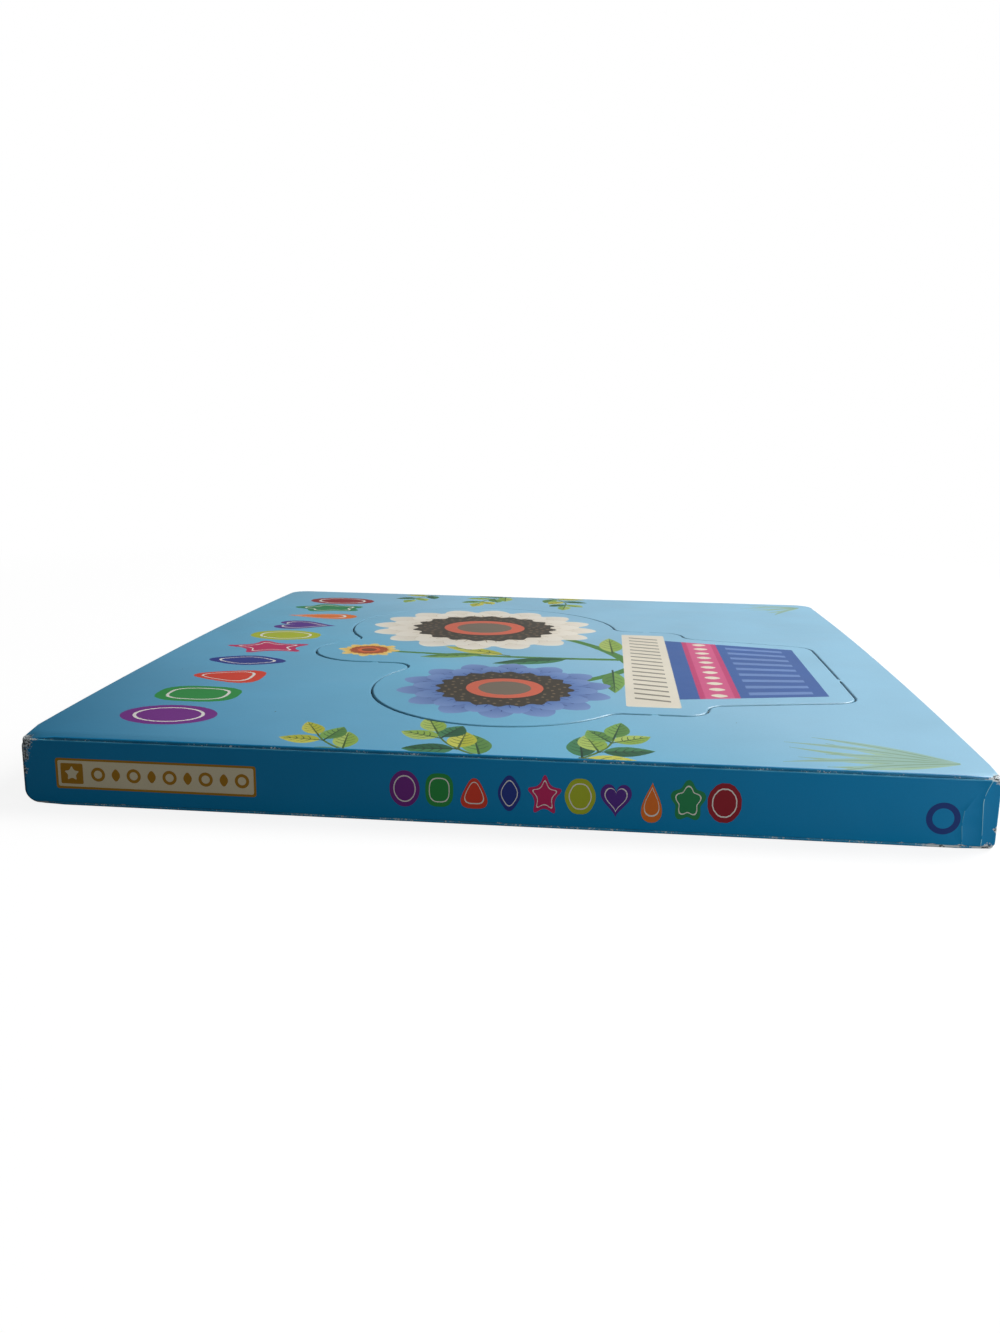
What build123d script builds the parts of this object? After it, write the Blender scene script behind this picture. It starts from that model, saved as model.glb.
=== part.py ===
from build123d import *
import os

# A children's board book, lying closed on its back cover, in millimetres.
# The spine faces -Y, the fore-edge +Y, and the head of the book is at -X, so "up" on the
# printed cover is -X and "across", from spine to fore-edge, is +Y.
# The origin is the middle of the underside.

# Driving dimensions
BOOK_HEIGHT = 200.0        # head to tail, along the spine
BOOK_WIDTH = 208.0         # spine face to fore-edge
SPINE_THICKNESS = 15.4
FORE_EDGE_RISE = 1.4       # the leaves spring apart, so the closed book is thicker at its fore-edge
CROWN = 1.4                # and its front cover swells in the middle
BOARD = 2.0                # cover and spine board
LEAVES = 6
TRIM = 5.0                 # what the guillotine takes off the head, tail and fore-edge

# Folds and corners
FOLD_FACET = 0.9           # narrow flat that the crease leaves along each spine fold
FORE_EDGE_CORNER = 6.0     # die-cut round corners
HEAD_TOP_WEAR = 2.4        # spine corners, rounded by wear
HEAD_BOTTOM_WEAR = 2.8
TAIL_WEAR = 1.0

# Leaves
COVER_GAP = 0.3            # between the front cover and the first leaf
LEAF_GAP_SPINE = 0.08      # the gap between two leaves, near the spine and at the fore-edge
LEAF_GAP_FORE_EDGE = 0.32
LEAF_GAP_DEPTH = 5.0       # how far the gaps reach in from the head, tail and fore-edge
LEAF_GAP_START = 6.0       # glued width beside the spine board, where there is no gap

# Press-out piece
KERF = 0.45                # width of the die-cut line round it
KERF_ROLL = 0.3            # the die rolls the laminate down at both sides of the line
MARGIN = 6.0               # plain board left round the printed motif
INNER_CORNER = 5.0         # smallest hollow that the cutting rule follows
NICK_WIDTH = 1.4           # uncut bridges that hold the piece
NICK_DEPTH = 0.8
NICK_ROOT = 0.6            # how far each bridge is drawn into the piece that it is part of

# The motif that the outline follows, blooms in a pot, measured across from the spine and up from mid-height
BLOOMS = [(133.0, 16.0, 36.0), (53.0, 2.0, 27.0), (92.0, 45.0, 9.0)]
POT_ACROSS = 84.0          # middle of the pot
RIM = (44.0, -28.0, -41.0)                  # half-width, top, bottom
POT = (36.0, 28.0, -78.0)                   # half-width at the rim and at the foot, foot
STEMS = [(92.0, 9.0, 45.0), (90.0, 32.0, -4.0)]     # across, half-width and top of each bundle

# Bridges, each on a straight stretch of the outline: across, up, and the way it points along X and Y
NICKS = [(34.0, -34.5, 0, -1), (74.0, -84.0, 1, 0), (134.0, -36.0, 0, 1), (77.0, 40.0, 0, -1)]

SPINE_Y = -BOOK_WIDTH / 2
FORE_EDGE_Y = BOOK_WIDTH / 2
UNTRIMMED_Y = FORE_EDGE_Y + TRIM
HEAD_X = -BOOK_HEIGHT / 2
TAIL_X = BOOK_HEIGHT / 2


def section(*edges):
    """A closed outline in the YZ plane, pushed out along the whole height of the untrimmed book."""
    return extrude(Plane.YZ * make_face(Wire(edges)), BOOK_HEIGHT / 2 + TRIM, both=True)


def plan(head_spine_corner, tail_spine_corner):
    """The trimmed and round-cornered book seen from above, as a prism taller than the book."""
    corners = [(HEAD_X, SPINE_Y), (TAIL_X, SPINE_Y), (TAIL_X, FORE_EDGE_Y), (HEAD_X, FORE_EDGE_Y)]
    radii = [head_spine_corner, tail_spine_corner, FORE_EDGE_CORNER, FORE_EDGE_CORNER]
    return extrude(make_face(FilletPolyline(*corners, radius=radii, close=True)), 2 * SPINE_THICKNESS)


def swell(level, start_y):
    """Rise of the book at three points, from start_y to where it is trimmed: level 0 is the back cover, 1 the front."""
    points = []
    for y in (start_y, (start_y + UNTRIMMED_Y) / 2, UNTRIMMED_Y):
        share = (y - start_y) / (FORE_EDGE_Y - start_y)
        points.append((y, level * (FORE_EDGE_RISE * share + 4 * CROWN * share * (1 - share))))
    return points


def raised(points, z):
    return [(y, z + rise) for y, rise in points]


def bend(points):
    """The curve of a sprung leaf, or a straight line where the book lies flat."""
    start, middle, end = (Vector(*point) for point in points)
    straight = ((start + end) / 2 - middle).length < 0.001
    return Line(start, end) if straight else ThreePointArc(start, middle, end)


def spine():
    """Flat board between the two folds, mitred at 45 degrees to meet the covers."""
    half_facet = FOLD_FACET / 2
    top = SPINE_THICKNESS
    inner_y = SPINE_Y + BOARD
    outline = Polyline(
        (SPINE_Y, FOLD_FACET), (SPINE_Y, top - FOLD_FACET), (SPINE_Y + half_facet, top - half_facet),
        (inner_y, top - BOARD), (inner_y, BOARD), (SPINE_Y + half_facet, half_facet), close=True)
    ends = [(HEAD_X, 0), (TAIL_X, 0), (TAIL_X, top), (HEAD_X, top)]
    radii = [HEAD_BOTTOM_WEAR, TAIL_WEAR, TAIL_WEAR, HEAD_TOP_WEAR]
    face = Plane.XZ * make_face(FilletPolyline(*ends, radius=radii, close=True))
    return section(*outline.edges()) & extrude(face, BOOK_WIDTH, both=True)


def back_cover():
    """Flat board that the book lies on."""
    half_facet = FOLD_FACET / 2
    outline = Polyline(
        (SPINE_Y + FOLD_FACET, 0), (UNTRIMMED_Y, 0), (UNTRIMMED_Y, BOARD), (SPINE_Y + BOARD, BOARD),
        (SPINE_Y + half_facet, half_facet), close=True)
    return section(*outline.edges()) & plan(HEAD_BOTTOM_WEAR, TAIL_WEAR)


def cover_slab():
    """The front cover before it is die-cut: a board with a slight swell, mitred at the fold."""
    half_facet = FOLD_FACET / 2
    top = raised(swell(1, SPINE_Y + FOLD_FACET), SPINE_THICKNESS)
    under = raised(swell(1, SPINE_Y + BOARD), SPINE_THICKNESS - BOARD)
    fold = (SPINE_Y + half_facet, SPINE_THICKNESS - half_facet)
    outline = [bend(top), Line(top[-1], under[-1]), bend(under[::-1]),
               Line(under[0], fold), Line(fold, top[0])]
    return section(*outline) & plan(HEAD_TOP_WEAR, TAIL_WEAR)


def page_block():
    """Leaves of board, glued along the spine, that part by a hair towards the other three edges."""
    inner_y = SPINE_Y + BOARD
    top = raised(swell(1, inner_y), SPINE_THICKNESS - BOARD - COVER_GAP)
    outline = [bend(top), *Polyline(top[-1], (UNTRIMMED_Y, BOARD), (inner_y, BOARD), top[0]).edges()]
    block = section(*outline) & plan(HEAD_BOTTOM_WEAR, TAIL_WEAR)
    joined = Pos(0, -LEAF_GAP_DEPTH / 2, SPINE_THICKNESS) * Box(
        BOOK_HEIGHT - 2 * LEAF_GAP_DEPTH, BOOK_WIDTH - LEAF_GAP_DEPTH, 2 * SPINE_THICKNESS)
    thickness = SPINE_THICKNESS - 2 * BOARD - COVER_GAP
    start_y = inner_y + LEAF_GAP_START
    for leaf in range(LEAVES):
        level = leaf / LEAVES
        low = raised(swell(level, start_y), BOARD + level * thickness)
        gaps = (LEAF_GAP_SPINE, (LEAF_GAP_SPINE + LEAF_GAP_FORE_EDGE) / 2, LEAF_GAP_FORE_EDGE)
        high = [(y, z + width) for (y, z), width in zip(low, gaps)]
        gap = section(bend(low), Line(low[-1], high[-1]), bend(high[::-1]), Line(high[0], low[0]))
        block -= gap - joined
    return block


def on_cover(across, up):
    return Pos(-up, SPINE_Y + across)


def motif():
    """Blooms, stems and pot as one flat shape."""
    half_width, top, bottom = RIM
    shape = on_cover(POT_ACROSS, (top + bottom) / 2) * Rectangle(top - bottom, 2 * half_width)
    shoulder, foot, low = POT
    shape += on_cover(POT_ACROSS, 0) * make_face(Polyline(
        (-bottom, -shoulder), (-low, -foot), (-low, foot), (-bottom, shoulder), close=True))
    for across, half_width, up in STEMS:
        shape += on_cover(across, (top + up) / 2) * Rectangle(up - top, 2 * half_width)
    for across, up, radius in BLOOMS:
        shape += on_cover(across, up) * Circle(radius)
    return shape


def cut_line():
    """The path of the cutting rule: a margin outside the motif, with no hollow tighter than the rule bends."""
    return offset(offset(motif(), MARGIN + INNER_CORNER), -INNER_CORNER)


def prism(outline):
    return extrude(outline, 2 * SPINE_THICKNESS)


def rolled(board, keep_outer_edge=False):
    """Rolls the printed face down at its cut edges, as the die leaves it."""
    printed_face = board.faces().sort_by(Axis.Z)[-1]
    wires = printed_face.inner_wires() if keep_outer_edge else [printed_face.outer_wire()]
    return chamfer([edge for wire in wires for edge in wire.edges()], KERF_ROLL)


def front_cover():
    return rolled(cover_slab() - prism(offset(cut_line(), KERF)), keep_outer_edge=True)


def nick(across, up, x_way, y_way):
    """A bridge just under the printed face, from inside the piece to the cover's cut edge."""
    reach = (KERF - NICK_ROOT) / 2
    length = KERF + NICK_ROOT
    place = on_cover(across, up) * Pos(x_way * reach, y_way * reach, SPINE_THICKNESS)
    bar = place * Box(length if x_way else NICK_WIDTH, length if y_way else NICK_WIDTH, SPINE_THICKNESS)
    lowered = Pos(0, 0, -KERF_ROLL) * cover_slab()
    return bar & (lowered - Pos(0, 0, -NICK_DEPTH) * lowered)


def press_out_piece():
    """Shaped board in the front cover, flush with it, which a child pushes out through its nicks."""
    piece = rolled(cover_slab() & prism(cut_line()))
    for bridge in NICKS:
        piece += nick(*bridge)
    return piece


os.makedirs("parts", exist_ok=True)
parts = {
    "front_cover": front_cover(),
    "press_out_piece": press_out_piece(),
    "spine": spine(),
    "page_block": page_block(),
    "back_cover": back_cover(),
}
for name, solid in parts.items():
    export_step(solid, f"parts/{name}.step")
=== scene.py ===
from functools import cache
from math import cos, hypot, pi, radians, sin, sqrt

import bpy
import numpy as np
from mathutils import Matrix, Vector
from mathutils.geometry import delaunay_2d_cdt


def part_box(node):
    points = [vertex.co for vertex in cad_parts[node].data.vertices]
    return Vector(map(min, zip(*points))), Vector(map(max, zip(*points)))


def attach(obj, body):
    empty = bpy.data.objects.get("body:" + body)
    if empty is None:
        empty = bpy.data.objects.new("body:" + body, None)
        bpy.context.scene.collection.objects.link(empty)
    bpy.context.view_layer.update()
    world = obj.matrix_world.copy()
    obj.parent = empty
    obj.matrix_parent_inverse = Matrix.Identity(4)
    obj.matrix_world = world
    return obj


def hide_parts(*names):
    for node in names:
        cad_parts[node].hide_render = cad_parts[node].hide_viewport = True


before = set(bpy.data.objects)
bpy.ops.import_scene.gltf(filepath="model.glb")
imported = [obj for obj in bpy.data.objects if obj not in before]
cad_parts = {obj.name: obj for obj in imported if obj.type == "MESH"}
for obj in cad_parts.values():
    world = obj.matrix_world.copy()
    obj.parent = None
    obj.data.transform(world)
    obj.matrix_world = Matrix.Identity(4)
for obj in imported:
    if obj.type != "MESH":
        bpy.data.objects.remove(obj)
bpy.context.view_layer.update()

# Page block
# Six thick leaves of white-lined board, coated and glued to each other down a strip beside the spine.
# They are trimmed together with round fore-edge corners, and spring apart a little.
MM = 0.001                # every size below is in millimetres
LEAVES = 6
LEAF_PITCH = 1.85
LEAF_THICKNESS = 1.77
LEAF_SLIP = 0.07          # how far a leaf strays from its neighbours in the stack
LEAF_ROLL = 0.12          # how far the blade rolls the edge of a leaf's upper side
LINING_GAP = 0.04         # between the back cover and the first leaf
FORE_EDGE_RISE = 1.4      # the closed book is thicker at its fore-edge
CROWN = 1.4               # and swells in the middle
SCORE_ACROSS = 9.0        # the crease beside the glued strip, where each leaf turns
SCORE_WIDTH = 0.5
SCORE_DEPTH = 0.12
SCORE_END = 0.4           # how far it stops from the trimmed edges
FORE_EDGE_CORNER = 6.0
WORN_CORNER = 2.8         # spine corner at the head
SHARP_CORNER = 1.0        # spine corner at the tail
ARC_STEPS = 10
SIDE_STEP = 6.0           # straight edges are divided too, so that they can follow the bend of a leaf
BEND_STEP = 8.0           # and its two sides have guide points this far apart

block_low, block_high = (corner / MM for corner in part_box("page_block"))
SPINE_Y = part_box("spine")[0].y / MM
BOOK_WIDTH = block_high.y - SPINE_Y
BOARD = block_low.z
BLOCK_START = block_low.y - SPINE_Y      # across, from the spine's face
HALF_HEIGHT = block_high.x

# A cover's or leaf's own plan is (across, up): across from the spine's face, and up towards the head
COVER_TO_ROW = Matrix.Scale(MM, 4) @ Matrix.Translation((0, SPINE_Y, 0)) @ Matrix.Rotation(pi / 2, 4, "Z")


@cache
def linear(hex_colour):
    """sRGB hex to linear RGBA."""
    channels = [int(hex_colour[i:i + 2], 16) / 255 for i in (1, 3, 5)]
    return (*(c / 12.92 if c <= 0.04045 else ((c + 0.055) / 1.055) ** 2.4 for c in channels), 1.0)


def paint_at(paint, place):
    """The ink at a place: one colour, or colours that blend one after another from a start to an end."""
    if isinstance(paint, str):
        return linear(paint)
    *colours, start, end = paint
    way = end - start
    share = min(max((place - start).dot(way) / way.length_squared, 0), 0.9999)
    steps = share * (len(colours) - 1)
    first, last = colours[int(steps)], colours[int(steps) + 1]
    return tuple(a + (b - a) * (steps % 1) for a, b in zip(linear(first), linear(last)))


def with_next(ring):
    """Each place of a closed ring, with the one after it."""
    return zip(ring, ring[1:] + ring[:1])


def with_both(ring):
    """Each place of a closed ring, between the one before it and the one after it."""
    return zip(ring[-1:] + ring[:-1], ring, ring[1:] + ring[:1])


def moved_in(ring, distances):
    """An anticlockwise ring, with each place moved in by its own distance. A clockwise one moves out."""
    result = []
    for (before, place, after), distance in zip(with_both(ring), distances):
        along = ((place - before).normalized() + (after - place).normalized()).normalized()
        result.append(place + Vector((-along.y, along.x)) * distance)
    return result


def rounded(corners):
    """A closed outline with arcs at square corners, each (across, up, radius, roll of the side after it)."""
    outline = []
    for before, corner, after in with_both(corners):
        place, radius = Vector(corner[:2]), corner[2]
        back_way = (Vector(before[:2]) - place).normalized()
        on_way = (Vector(after[:2]) - place).normalized()
        centre = place + (back_way + on_way) * radius
        for step in range(ARC_STEPS + 1):
            turn = step / ARC_STEPS * pi / 2
            at = centre - on_way * radius * cos(turn) - back_way * radius * sin(turn)
            outline.append((at.x, at.y, before[3] + (corner[3] - before[3]) * step / ARC_STEPS))
    stepped = []
    for here, after in with_next(outline):
        steps = max(1, round(hypot(after[0] - here[0], after[1] - here[1]) / SIDE_STEP))
        for step in range(steps):
            stepped.append(tuple(a + (b - a) * step / steps for a, b in zip(here, after)))
    return stepped


def grid(width, height, spacing):
    """Lone guide points all over a rectangle, so that a board's side can follow its bend."""
    columns, rows = int(width // spacing), int(height // spacing)
    return [[(spacing * (column + 0.5), spacing * (row + 0.5) - height / 2)]
            for column in range(columns) for row in range(rows)]


def triangulated(outlines, guides):
    """The triangulation of outlines and guides: its places, lines and triangles, and then for each place,
    line and triangle what it came from. A triangle comes from the outlines that it is in."""
    places, lines, areas = [], [], []
    for outline in outlines:
        turning = sum(a.cross(b) for a, b in with_next(outline))
        area = list(range(len(places), len(places) + len(outline)))
        areas.append(area if turning > 0 else area[::-1])
        places += outline
    for guide in guides:
        lines += [(len(places) + i, len(places) + i + 1) for i in range(len(guide) - 1)]
        places += [Vector(place) for place in guide]
    # 1 asks for triangles inside the outlines only, and 1e-5 mm is the least gap between two points
    return delaunay_2d_cdt(places, lines, areas, 1, 1e-5)


def printed_face(insets, prints, paper, guides):
    """The face inside its first outline and outside the others, cut along the outlines of the print.

    It is the places of the triangles' corners, and each triangle as (corners, paint).
    """
    outlines = insets + [outline for outline, _ in prints]
    paints = [paper] * len(insets) + [paint for _, paint in prints]
    places, _, triangles, _, _, inside = triangulated(outlines, guides)
    holes = set(range(1, len(insets)))
    kept = [(tuple(corners), paints[max(of)]) for corners, of in zip(triangles, inside)
            if 0 in of and not holes.intersection(of)]
    used = {old: new for new, old in enumerate(sorted({corner for corners, _ in kept for corner in corners}))}
    kept = [(tuple(used[corner] for corner in corners), paint) for corners, paint in kept]
    return [places[old] for old in used], kept


def lie(side, place):
    """The way that a side of a board faces at a place."""
    reach = 0.05
    slopes = [(side(*(place + step)) - side(*(place - step))) / (2 * reach)
              for step in (Vector((reach, 0)), Vector((0, reach)))]
    return Vector((-slopes[0], -slopes[1], 1)).normalized()


def sides_of(rings):
    """The sides of some closed rings, as the places where they start and the places where they end."""
    starts = [place for ring in rings for place in ring]
    ends = [place for ring in rings for place in ring[1:] + ring[:1]]
    return np.array(starts), np.array(ends)


def nearest(place, starts, ends):
    """How far a place is from the nearest of some sides, which side that is, and how far along it."""
    ways = ends - starts
    shares = (((place - starts) * ways).sum(1) / (ways ** 2).sum(1)).clip(0, 1)
    gaps = np.hypot(*(starts + ways * shares[:, None] - place).T)
    line = gaps.argmin()
    return gaps[line], line, shares[line]


def rings_of(border):
    """The closed rings in a border that names the point after each point, each from its lowest number."""
    rings, left = [], set(border)
    while left:
        ring = [min(left)]
        while border[ring[-1]] != ring[0]:
            ring.append(border[ring[-1]])
        left -= set(ring)
        rings.append(ring)
    return rings


def new_object(name, data):
    made = bpy.data.objects.new(name, data)
    bpy.context.scene.collection.objects.link(made)
    return made


def finished_board(name, points, faces, attributes, to_row, materials):
    """The mesh object of a board. faces is (corners, material, inks, normals), and a side is sharp where two
    materials meet. attributes holds a value for each point."""
    mesh = bpy.data.meshes.new(name)
    mesh.from_pydata([to_row @ point for point in points], [], [corners for corners, _, _, _ in faces])
    for polygon, (_, material, _, _) in zip(mesh.polygons, faces):
        polygon.material_index = material
        polygon.use_smooth = True
    meeting = {}
    for polygon in mesh.polygons:
        for key in polygon.edge_keys:
            meeting.setdefault(key, set()).add(polygon.material_index)
    for line in mesh.edges:
        line.use_edge_sharp = len(meeting[line.key]) > 1
    ink = mesh.color_attributes.new("ink", "FLOAT_COLOR", "CORNER")
    ink.data.foreach_set("color", [c for _, _, inks, _ in faces for colour in inks for c in colour])
    for attribute, values in attributes.items():
        mesh.attributes.new(attribute, "FLOAT", "POINT").data.foreach_set("value", values)
    turn = to_row.to_3x3().normalized()
    mesh.normals_split_custom_set([turn @ normal for _, _, _, normals in faces for normal in normals])
    for material in materials:
        mesh.materials.append(material)
    return new_object(name, mesh)


def board(name, loops, face, back, to_row, materials, paper="#FFFFFF", prints=(), guides=(),
          back_guides=(), wrapped=0.0, fold_paint=None, soil_and_shade=(0.0, 0.0)):
    """A closed board with its print as faces of their own, its face rolled down at the edges, and cut edges.

    loops is its outline, anticlockwise, and then any holes, clockwise, as (across, up, roll), where roll is
    how wide the face is rolled down there. face and back are functions that give the heights of both sides.
    prints is (outline, paint), each over those before it. Guides are lines of places that a side follows.
    Up to wrapped across, handling has pressed the laminate over the cut edge, printed in fold_paint.
    The last is how far the foot of the roll is painted darker, round the outline and round the holes, 0 to 1:
    painted shade where the face turns down into the cut, with some dirt.
    """
    roll_turns = [radians(30), radians(60), radians(90)]
    back_bevel, least_wall = 0.12, 0.06
    rims = [[Vector(place[:2]) for place in loop] for loop in loops]
    insets = [moved_in(rim, [roll for _, _, roll in loop]) for rim, loop in zip(rims, loops)]
    places, kept = printed_face(insets, prints, paper, guides)
    points = [Vector((*place, face(*place))) for place in places]
    normals = [lie(face, place) for place in places]
    faces = [(corners, 0, [paint_at(paint, places[c]) for c in corners], [normals[c] for c in corners])
             for corners, paint in kept]

    starts, ends = sides_of(insets)
    rim_starts, rim_ends = sides_of(rims)
    outer = len(rims[0])
    edge = [nearest(np.array(place), rim_starts[:outer], rim_ends[:outer])[0] for place in places]
    through = [0.0] * len(points)

    # Down from the face's border: the roll, the cut edge and a small bevel
    sides = {side: paint for corners, paint in kept for side in with_next(corners)}
    border = {a: b for a, b in sides if (b, a) not in sides}
    columns, column_normals, dirt_and_shade = {}, {}, {}
    for start in border:
        place = places[start]
        _, line, share = nearest(np.array(place), starts, ends)
        rim = Vector(rim_starts[line] + (rim_ends[line] - rim_starts[line]) * share)
        roll = (rim - place).length
        outward = (rim - place).normalized()
        top = points[start].z
        column, bent = [start], [normals[start]]
        for turn in roll_turns:
            column.append(len(points))
            points.append(Vector((*place.lerp(rim, sin(turn)), top - roll * (1 - cos(turn)))))
            bent.append((normals[start] * cos(turn) + Vector((*outward, 0)) * sin(turn)).normalized())
            edge.append(max(edge[start] - roll * sin(turn), 0))
            through.append(0.0)
        low = back(*rim)
        wall = points[-1].z - low
        if wall < least_wall:      # a mitred edge has no wall
            points[-1].z = low
            column += [column[-1]] * 2
        else:
            bevel = min(back_bevel, wall / 4)
            column += [len(points), len(points) + 1]
            points += [Vector((*rim, low + bevel)), Vector((*(rim - outward * bevel), low))]
            edge += [0.0, 0.0]
            through += [1.0, 1.0]
        columns[start], column_normals[start], dirt_and_shade[start] = column, bent, soil_and_shade[line >= outer]
    for a, b in border.items():
        folded = points[a].x + points[b].x < 2 * wrapped
        paint = fold_paint if folded and fold_paint else sides[a, b]
        inks = {start: paint_at(paint, places[start]) for start in (a, b)}
        for level in range(len(columns[a]) - 1):
            rolled = level < len(roll_turns)
            quad = [(b, level), (a, level), (a, level + 1), (b, level + 1)]
            corners = [columns[start][at] for start, at in quad]
            # The foot of the roll is painted darker: painted shade where the face turns down into the cut,
            # with some dirt
            shades = [1 - dirt_and_shade[a] * min(at / len(roll_turns), 1) for _, at in quad]
            colours = [(*(channel * shade for channel in inks[start][:3]), 1.0)
                       for (start, _), shade in zip(quad, shades)]
            bent = [column_normals[start][at] if rolled else Vector() for start, at in quad]
            # A column with no wall repeats its last point
            keep = [i for i in range(4) if corners[i] != corners[i - 1]]
            if len(keep) > 2:
                faces.append(([corners[i] for i in keep], 0 if rolled or folded else 1,
                              [colours[i] for i in keep], [bent[i] for i in keep]))

    # The back, inside the largest of the rings at the columns' feet
    def area(ring):
        return sum(points[a].xy.cross(points[b].xy) for a, b in with_next(ring))

    foot_loops = [[columns[start][-1] for start in ring] for ring in rings_of(border)]
    foot_loops.sort(key=area, reverse=True)
    feet = [foot for ring in foot_loops for foot in ring]
    flat = [[points[foot].xy for foot in ring] for ring in foot_loops]
    places, _, triangles, origins, _, inside = triangulated(flat, back_guides)
    new_feet = {}
    for index, of in enumerate(origins):
        known = [feet[i] for i in of if i < len(feet)]
        new_feet[index] = known[0] if known else None
    holes = set(range(1, len(flat)))
    for corners, of in zip(triangles, inside):
        if 0 in of and not holes.intersection(of):
            for corner in corners:
                if new_feet[corner] is None:
                    new_feet[corner] = len(points)
                    points.append(Vector((*places[corner], back(*places[corner]))))
                    edge.append(0.0)
                    through.append(1.0)
            faces.append(([new_feet[corner] for corner in reversed(corners)], 2,
                          [paint_at(paper, places[0])] * 3, [Vector()] * 3))
    return finished_board(name, points, faces, {"edge": edge, "through": through}, to_row, materials)


def add(tree, kind, inputs=(), **settings):
    """Adds a node with its settings. An input takes a value, or a link to another node or its output."""
    node = tree.nodes.new(kind)
    for name, value in settings.items():
        setattr(node, name, value)
    for name, value in dict(inputs).items():
        if isinstance(value, bpy.types.Node):
            value = next(output for output in value.outputs if output.enabled)
        if isinstance(value, bpy.types.NodeSocket):
            tree.links.new(value, node.inputs[name])
        else:
            node.inputs[name].default_value = value
    return node


def new_material(name):
    """A material with its node tree, its shader and the object's own coordinates, in metres."""
    material = bpy.data.materials.new(name)
    material.use_nodes = True
    tree = material.node_tree
    return material, tree, tree.nodes["Principled BSDF"], add(tree, "ShaderNodeTexCoord").outputs["Object"]


def cut_edge_of_board(name, skin, plies):
    """Guillotined white-lined board: pale compressed fibre in fine layers, matt, with its printed skin at
    one face and a line of glue between two plies."""
    # Real fibres are about 0.03 mm thick, and are drawn coarser to show
    fibre_length, fibre_thickness, dirt_size = 2.5 * MM, 0.11 * MM, 9 * MM
    material, tree, shader, here = new_material(name)
    squeezed = add(tree, "ShaderNodeMapping", {
        "Vector": here, "Scale": (1 / fibre_length, 1 / fibre_length, 1 / fibre_thickness)})
    fibres = add(tree, "ShaderNodeTexNoise", {"Vector": squeezed, "Scale": 1.0, "Detail": 3.0})
    pulp = add(tree, "ShaderNodeValToRGB", {"Fac": fibres})
    dark, light = pulp.color_ramp.elements
    dark.position, dark.color = 0.3, linear("#C9C2B2")
    light.position, light.color = 0.7, linear("#ECE7DB")
    dirt_and_shade = add(tree, "ShaderNodeTexNoise", {"Vector": here, "Scale": 1 / dirt_size, "Detail": 4.0})
    handled = add(tree, "ShaderNodeMapRange", {"Value": dirt_and_shade, 1: 0.45, 2: 0.75, 3: 0.0, 4: 0.35})
    soil_and_shade = add(tree, "ShaderNodeMix", {0: handled, 6: pulp, 7: linear("#A79E8B")}, data_type="RGBA")
    depth = add(tree, "ShaderNodeAttribute", attribute_name="through").outputs["Fac"]
    ply = add(tree, "ShaderNodeMath", {0: depth, 1: float(plies)}, operation="MULTIPLY")
    seam = add(tree, "ShaderNodeMath", {0: ply, 1: 1.0}, operation="PINGPONG")
    glue = add(tree, "ShaderNodeMapRange", {"Value": seam, 1: 0.9, 2: 1.0, 3: 0.0, 4: 0.35})
    glued = add(tree, "ShaderNodeMix", {0: glue, 6: soil_and_shade, 7: linear("#9A9485")}, data_type="RGBA")
    skin_share = add(tree, "ShaderNodeMapRange", {"Value": depth, 1: 0.03, 2: 0.07, 3: 1.0, 4: 0.0})
    colour = add(tree, "ShaderNodeMix", {0: skin_share, 6: glued, 7: linear(skin)}, data_type="RGBA")
    tree.links.new(colour.outputs["Result"], shader.inputs["Base Color"])
    rough = add(tree, "ShaderNodeBump", {"Height": fibres, "Distance": 0.03 * MM, "Strength": 0.8})
    tree.links.new(rough.outputs[0], shader.inputs["Normal"])
    shader.inputs["Roughness"].default_value = 0.85
    return material


def coated_paper(name, colour, shade):
    """Aqueous-coated print paper: satin, with the faint cloudiness of its fibres under the coat."""
    # The fibres under the coat are drawn as coarse as they need to show
    cloud_size, fibre_size = 14 * MM, 0.5 * MM
    material, tree, shader, here = new_material(name)
    clouds = add(tree, "ShaderNodeTexNoise", {"Vector": here, "Scale": 1 / cloud_size, "Detail": 5.0})
    tone = add(tree, "ShaderNodeMix", {0: clouds, 6: linear(colour), 7: linear(shade)}, data_type="RGBA")
    tree.links.new(tone.outputs["Result"], shader.inputs["Base Color"])
    fibres = add(tree, "ShaderNodeTexNoise", {"Vector": here, "Scale": 1 / fibre_size, "Detail": 3.0})
    sheen = add(tree, "ShaderNodeMapRange", {"Value": fibres, 1: 0.3, 2: 0.7, 3: 0.38, 4: 0.5})
    tree.links.new(sheen.outputs[0], shader.inputs["Roughness"])
    relief = add(tree, "ShaderNodeBump", {"Height": fibres, "Distance": 0.008 * MM, "Strength": 0.7})
    tree.links.new(relief.outputs[0], shader.inputs["Normal"])
    return material


leaf_paper = coated_paper("coated leaf paper", "#F1EEE4", "#E6E1D2")
leaf_edge = cut_edge_of_board("guillotined leaf edge", "#D9D6CC", 2)


def leaf_face(across, up):
    return LEAF_THICKNESS - SCORE_DEPTH * max(0, 1 - abs(across - SCORE_ACROSS) / (SCORE_WIDTH / 2))


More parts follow.
